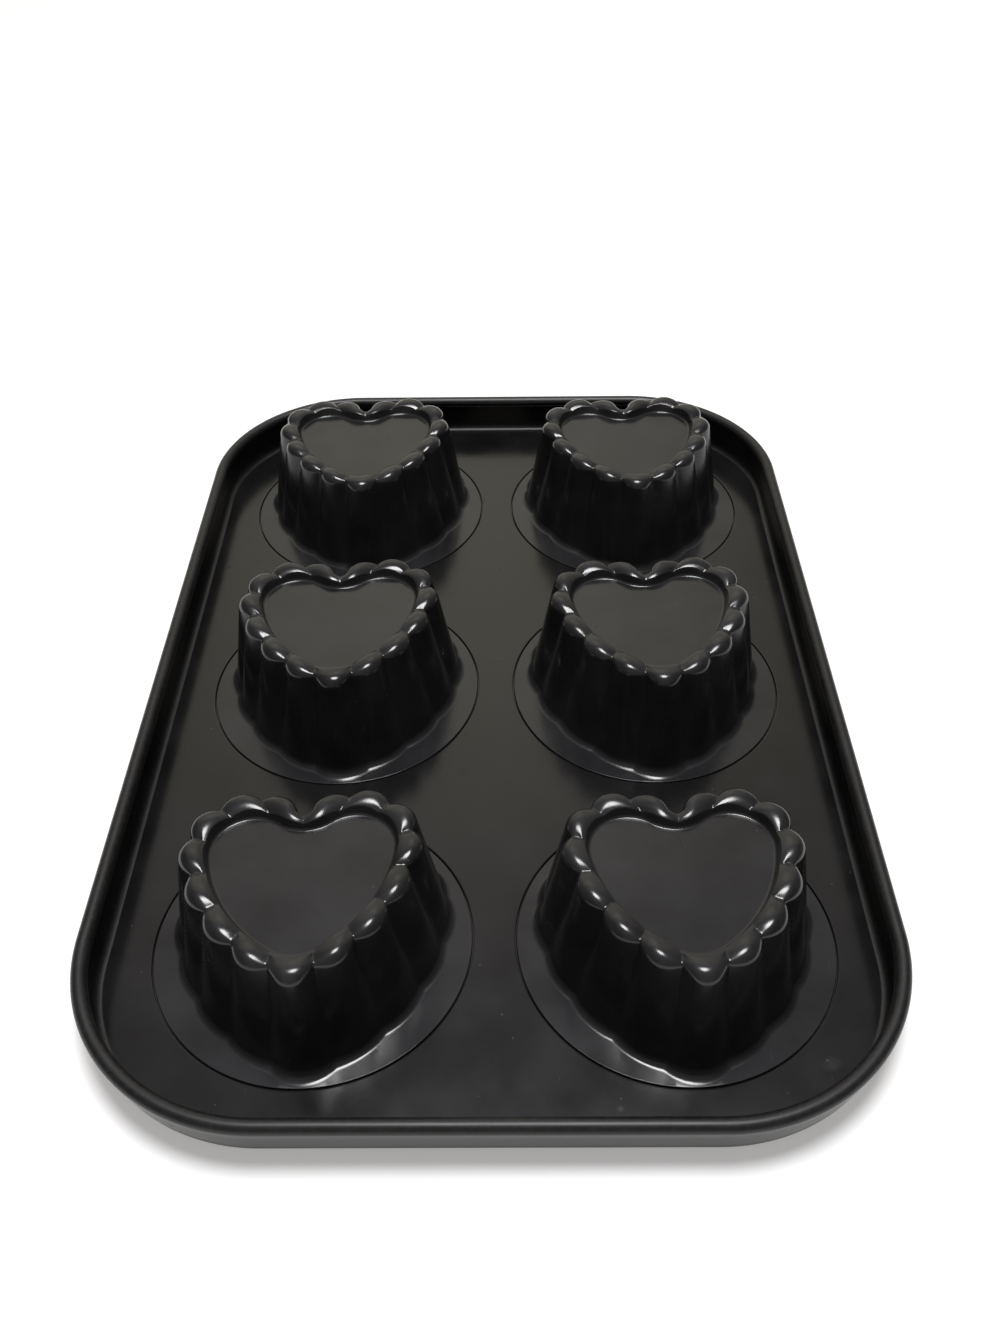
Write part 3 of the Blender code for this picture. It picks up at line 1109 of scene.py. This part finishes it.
@dataclass(frozen=True)
class CoatingSurface:
    """The surface that both black coatings share: its patterns' scales and strengths."""

    cloud_scale: float = 70.0
    cloud_roughness: float = 0.5
    dust: Spots = Spots(420.0, 0.08, 0.04, 0.11)
    stains: Spots = Spots(42.0, 0.3, 0.04, 0.1)
    specks: Spots = Spots(150.0, 0.16, 0.05, 0.14)
    fray_scale: float = 9.0
    fray: float = 0.03
    scuff_stretch: Triple = (700.0, 170.0, 700.0)
    scuff_range: Pair = (0.72, 0.77)
    rub_scale: float = 900.0
    rub_range: Pair = (0.4, 0.65)
    rub_dust: float = 0.05
    dull_roughness: float = 0.2
    peel_scale: float = 650.0
    peel_height: float = 0.35
    wave_scale: float = 60.0
    grain_scale: float = 3200.0
    grain_height: float = 0.05

    def spots(self, graph: Graph, vector: NodeSocket, kind: Spots) -> NodeSocket:
        """Add spots with frayed edges.

        Args:
            graph: the group's graph.
            vector: the place on the piece.
            kind: the spots' sizes.

        Returns:
            A mask, 1 on a spot.
        """
        cells = graph.node("ShaderNodeTexVoronoi", {"Vector": vector, "Scale": kind.scale})
        fraying = graph.noise(vector, self.fray_scale * kind.scale)
        frayed = graph.mottled(fraying, -self.fray, self.fray)
        ragged = graph.total(cells.outputs["Distance"], frayed)
        chance = graph.node("ShaderNodeSeparateColor", {0: cells.outputs["Color"]}).outputs[0]
        chosen = graph.math("GREATER_THAN", chance, 1.0 - kind.share)
        return graph.product(chosen, graph.spread(ragged, kind.inner, kind.outer, 1.0, 0.0))

    def build(self) -> NodeTree:
        """Make the group.

        Returns:
            A shader group. Its colour and roughness carry cloudy mottling, dull stains and
            scuffs, fine dust and wear. Its height carries the coating's slight unevenness.
        """
        inputs = {
            "Vector": ("NodeSocketVector",),
            "Colour": ("NodeSocketColor",),
            "Dust Colour": ("NodeSocketColor",),
            "Roughness": ("NodeSocketFloat",),
            "Mottling": ("NodeSocketFloat",),
            "Dust": ("NodeSocketFloat",),
            "Stains": ("NodeSocketFloat",),
            "Wear": ("NodeSocketFloat",),
            "Wear Roughness": ("NodeSocketFloat",),
        }
        outputs = {"Colour": "NodeSocketColor", "Roughness": "NodeSocketFloat", "Height": "NodeSocketFloat"}
        graph, given, wanted = new_tree("coating_surface", "ShaderNodeTree", inputs, outputs)
        vector = given["Vector"]
        clouds = graph.mottled(graph.noise(vector, self.cloud_scale, detail=5.0), -1.0, 1.0)
        uneven = graph.product(clouds, given["Mottling"])
        toned = graph.scaled(given["Colour"], graph.total(1.0, uneven))
        dust = graph.product(self.spots(graph, vector, self.dust), given["Dust"])
        drawn = graph.vector("MULTIPLY", vector, self.scuff_stretch)
        scuffs = graph.spread(graph.noise(drawn, 1.0), *self.scuff_range, 0.0, 1.0)
        stains = self.spots(graph, vector, self.stains)
        specks = self.spots(graph, vector, self.specks)
        marks = graph.math("MAXIMUM", graph.math("MAXIMUM", stains, specks), scuffs)
        dull = graph.product(marks, given["Stains"])
        toned = graph.scaled(toned, graph.math("SUBTRACT", 1.0, dull))
        dusted = graph.mixed(dust, toned, given["Dust Colour"])
        rubbing = graph.noise(vector, self.rub_scale, detail=3.0)
        rubbed = graph.product(given["Wear"], graph.spread(rubbing, *self.rub_range, 0.0, 1.0))
        paled = graph.product(rubbed, self.rub_dust)
        graph.feed(wanted["Colour"], graph.mixed(paled, dusted, given["Dust Colour"]))
        varied = graph.total(1.0, graph.product(uneven, self.cloud_roughness))
        rough = graph.product(given["Roughness"], varied)
        duller = graph.product(graph.total(dust, dull), self.dull_roughness)
        worn = graph.product(given["Wear Roughness"], given["Wear"])
        graph.feed(wanted["Roughness"], graph.total(rough, duller, worn))
        peel = graph.product(graph.noise(vector, self.peel_scale), self.peel_height)
        waves = graph.noise(vector, self.wave_scale)
        grain = graph.product(graph.noise(vector, self.grain_scale), self.grain_height)
        graph.feed(wanted["Height"], graph.total(peel, waves, grain))
        return graph.tree


@dataclass(frozen=True)
class Coating:
    """Black non-stick coating on steel."""

    name: str
    colour: Triple
    dust_colour: Triple = (0.12, 0.12, 0.13)
    roughness: float = 0.19
    mottling: float = 0.3
    dust: float = 0.35
    stains: float = 0.55
    wear_roughness: float = 0.22
    unevenness: float = 0.006 * MM
    ior: float = 1.45

    def material(self, surface: NodeTree) -> Material:
        """Make the material.

        Args:
            surface: the shared coating group.

        Returns:
            The new material.
        """
        material, graph, shader = new_material(self.name)
        coordinates = graph.node("ShaderNodeTexCoord").outputs["Object"]
        worn = graph.node("ShaderNodeAttribute", attribute_name="wear").outputs["Fac"]
        values = {
            "Vector": coordinates,
            "Colour": (*self.colour, 1.0),
            "Dust Colour": (*self.dust_colour, 1.0),
            "Roughness": self.roughness,
            "Mottling": self.mottling,
            "Dust": self.dust,
            "Stains": self.stains,
            "Wear": worn,
            "Wear Roughness": self.wear_roughness,
        }
        look = graph.node("ShaderNodeGroup", node_tree=surface)
        for label, value in values.items():
            graph.feed(look.inputs[label], value)
        inputs = {"Distance": self.unevenness, "Height": look.outputs["Height"]}
        bump = graph.node("ShaderNodeBump", inputs)
        graph.feed(shader.inputs["Base Color"], look.outputs["Colour"])
        graph.feed(shader.inputs["Roughness"], look.outputs["Roughness"])
        graph.feed(shader.inputs["Normal"], bump.outputs[0])
        shader.inputs["IOR"].default_value = self.ior
        return material


@dataclass(frozen=True)
class WireSteel:
    """Drawn steel wire, bare inside the rolled rim."""

    name: str
    colour: Triple = (0.35, 0.35, 0.36)
    shade_range: Pair = (0.7, 1.1)
    roughness_range: Pair = (0.3, 0.55)
    mark_scale: float = 900.0
    mark_height: float = 0.01 * MM

    def material(self) -> Material:
        """Make the material, with fine draw marks in its roughness and its colour.

        Returns:
            The wire's material.
        """
        material, graph, shader = new_material(self.name)
        coordinates = graph.node("ShaderNodeTexCoord").outputs["Object"]
        marks = graph.noise(coordinates, self.mark_scale, detail=4.0)
        shade = graph.mottled(marks, *self.shade_range)
        graph.feed(shader.inputs["Base Color"], graph.scaled(self.colour, shade))
        graph.feed(shader.inputs["Roughness"], graph.mottled(marks, *self.roughness_range))
        bump = graph.node("ShaderNodeBump", {"Distance": self.mark_height, "Height": marks})
        graph.feed(shader.inputs["Normal"], bump.outputs[0])
        shader.inputs["Metallic"].default_value = 1.0
        return material


def new_material(name: str) -> tuple[Material, Graph, Node]:
    """Start a material.

    Args:
        name: the material's name.

    Returns:
        The material, its graph and its Principled shader.
    """
    material = bpy.data.materials.new(name)
    material.use_nodes = True
    return material, Graph(material.node_tree), material.node_tree.nodes["Principled BSDF"]


@dataclass
class Studio:
    """The plain studio: a pale floor, soft white surroundings, a lamp and the camera.

    The camera looks at its target from an azimuth and an elevation, at a distance. The
    surroundings' ranges are parts of a unit vector: X to the right, Y away from the
    camera and Z up.
    """

    azimuth: float = math.radians(0.555)
    elevation: float = math.radians(43.349)
    roll: float = math.radians(-0.708)
    distance: float = 334.82 * MM
    target: Triple = (1.81 * MM, 7.77 * MM, 1.5 * MM)
    sensor: float = 36.0
    lens: float = 32.85
    near_clip: float = 0.01
    floor_radius: float = 3.0
    floor_sides: int = 96
    floor_grain: float = 40.0
    floor_colour: float = 0.8
    floor_mottling: float = 0.01
    floor_roughness: float = 0.9
    floor_glow: float = 0.3
    front_level: float = 0.27
    back_level: float = 0.6
    back_range: Pair = (0.42, 0.58)
    side_level: float = 0.25
    side_range: Pair = (0.38, 0.7)
    side_tilt: float = 0.2
    tilt_reach: float = 0.35
    low_colour: Triple = (1.06, 1.0, 0.84)
    high_colour: Triple = (1.1, 1.0, 1.12)
    high_range: Pair = (0.72, 0.9)
    glow_azimuth: float = math.radians(-2)
    glow_elevation: float = math.radians(42)
    glow_inner: float = math.radians(3)
    glow_outer: float = math.radians(18)
    glow_level: float = 0.56
    glow_colour: Triple = (1.07, 1.0, 0.82)
    lamp_place: Triple = (0.05, 0.08, 1.6)
    lamp_size: float = 0.56
    lamp_power: float = 22.0

    def add_camera(self) -> None:
        """Add the camera at the photograph's viewing angle."""
        flat = math.cos(self.elevation)
        level = (math.sin(self.azimuth) * flat, -math.cos(self.azimuth) * flat)
        back = Vector((*level, math.sin(self.elevation)))
        right = back.cross(Vector((0.0, 0.0, -1.0))).normalized()
        up = back.cross(right)
        side = right * math.cos(self.roll) + up * math.sin(self.roll)
        head = up * math.cos(self.roll) - right * math.sin(self.roll)
        place = Vector(self.target) + back * self.distance
        data = bpy.data.cameras.new("camera")
        data.sensor_fit = "VERTICAL"
        data.sensor_height = self.sensor
        data.lens = self.lens
        data.clip_start = self.near_clip
        camera = add_object("camera", data)
        turn = Matrix((side, head, back)).transposed().to_4x4()
        camera.matrix_world = Matrix.Translation(place) @ turn
        bpy.context.scene.camera = camera

    def seen(self, graph: Graph) -> NodeSocket:
        """Pick out the rays by which a surface is seen.

        Args:
            graph: the surface's graph.

        Returns:
            1 for camera, glossy and transmission rays, and 0 for the others.
        """
        path = graph.node("ShaderNodeLightPath").outputs
        either = graph.math("MAXIMUM", path["Is Camera Ray"], path["Is Glossy Ray"])
        return graph.math("MAXIMUM", either, path["Is Transmission Ray"])

    def add_surroundings(self) -> None:
        """Light the pan softly from all round, most from a glow behind it."""
        world = bpy.data.worlds.new("studio")
        world.use_nodes = True
        graph = Graph(world.node_tree)
        background = world.node_tree.nodes["Background"]
        direction = graph.node("ShaderNodeTexCoord").outputs["Generated"]
        parts = graph.node("ShaderNodeSeparateXYZ", {0: direction}).outputs
        level = graph.spread(parts["Y"], *self.back_range, self.front_level, self.back_level)
        ends = (1.0 + self.side_tilt, 1.0 - self.side_tilt)
        tilt = graph.spread(parts["X"], -self.tilt_reach, self.tilt_reach, *ends)
        aside = graph.math("ABSOLUTE", parts["X"])
        sides = graph.spread(aside, *self.side_range, 1.0, self.side_level)
        level = graph.product(level, tilt, sides)
        inputs = {0: direction, 1: self.glow_direction()}
        facing = graph.node("ShaderNodeVectorMath", inputs, operation="DOT_PRODUCT")
        away = graph.math("ARCCOSINE", facing.outputs["Value"])
        glow = graph.eased(graph.spread(away, self.glow_inner, self.glow_outer, 1.0, 0.0))
        upper = graph.spread(parts["Z"], *self.high_range, 0.0, 1.0)
        tone = graph.mixed(upper, (*self.low_colour, 1.0), (*self.high_colour, 1.0))
        base = graph.scaled(tone, level)
        added = graph.scaled(self.glow_colour, graph.product(glow, self.glow_level))
        graph.feed(background.inputs["Color"], graph.vector("ADD", base, added))
        bpy.context.scene.world = world

    def glow_direction(self) -> Triple:
        """Work out where the glow's middle lies.

        Returns:
            The direction towards it.
        """
        flat = math.cos(self.glow_elevation)
        level = (math.sin(self.glow_azimuth) * flat, math.cos(self.glow_azimuth) * flat)
        return (*level, math.sin(self.glow_elevation))

    def add_floor(self) -> None:
        """Add the pale floor that the pan stands on."""
        shape = bmesh.new()
        sides, radius = self.floor_sides, self.floor_radius
        bmesh.ops.create_circle(shape, cap_ends=True, segments=sides, radius=radius)
        mesh = bpy.data.meshes.new("floor")
        shape.to_mesh(mesh)
        shape.free()
        material, graph, shader = new_material("pale_floor")
        grain = graph.node("ShaderNodeTexNoise", {"Scale": self.floor_grain, "Detail": 3.0}).outputs[0]
        dark, light = self.floor_colour - self.floor_mottling, self.floor_colour + self.floor_mottling
        graph.feed(shader.inputs["Base Color"], graph.mottled(grain, dark, light))
        shader.inputs["Roughness"].default_value = self.floor_roughness
        shader.inputs["Specular IOR Level"].default_value = 0.0
        shader.inputs["Emission Color"].default_value = (1.0, 1.0, 1.0, 1.0)
        glow = graph.product(self.seen(graph), self.floor_glow)
        graph.feed(shader.inputs["Emission Strength"], glow)
        mesh.materials.append(material)
        floor = add_object("floor", mesh)

    def add_lamp(self) -> None:
        """Add the small lamp that gives the crisp highlights."""
        data = bpy.data.lights.new("lamp", "AREA")
        data.shape = "DISK"
        data.size = self.lamp_size
        data.energy = self.lamp_power
        lamp = add_object("lamp", data)
        lamp.location = self.lamp_place
        aim = Vector(self.lamp_place).to_track_quat("Z", "Y")
        lamp.rotation_euler = aim.to_euler()

    def build(self) -> None:
        """Add the camera, the surroundings, the floor and the lamp."""
        bpy.context.scene.view_settings.view_transform = "Standard"
        self.add_camera()
        self.add_surroundings()
        self.add_floor()
        self.add_lamp()


def main() -> None:
    """Build the studio, the finishes and the pieces of the pan."""
    logging.basicConfig(level=logging.INFO, format="%(name)s: %(message)s")
    Studio().build()
    surface = CoatingSurface().build()
    deck_coating = Coating("deck_coating", DECK_BLACK).material(surface)
    # The cups take the coating's lighter black: painted light on their shaded walls.
    cup_coating = Coating("cup_coating", CUP_BLACK_WITH_PAINTED_LIGHT, stains=0.35, wear_roughness=0.0).material(surface)
    wire_steel = WireSteel("wire_steel").material()
    cups = [HeartCup(name) for name in sorted(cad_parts) if name.startswith("heart_cup")]
    flutes = fluting_tree()
    sweep = sweep_tree()
    tray = Tray(cups)
    tray.build(sweep, deck_coating)
    tray.build_wire(sweep, wire_steel)
    for cup in cups:
        cup.build(flutes, cup_coating)


if __name__ == "__main__":
    main()
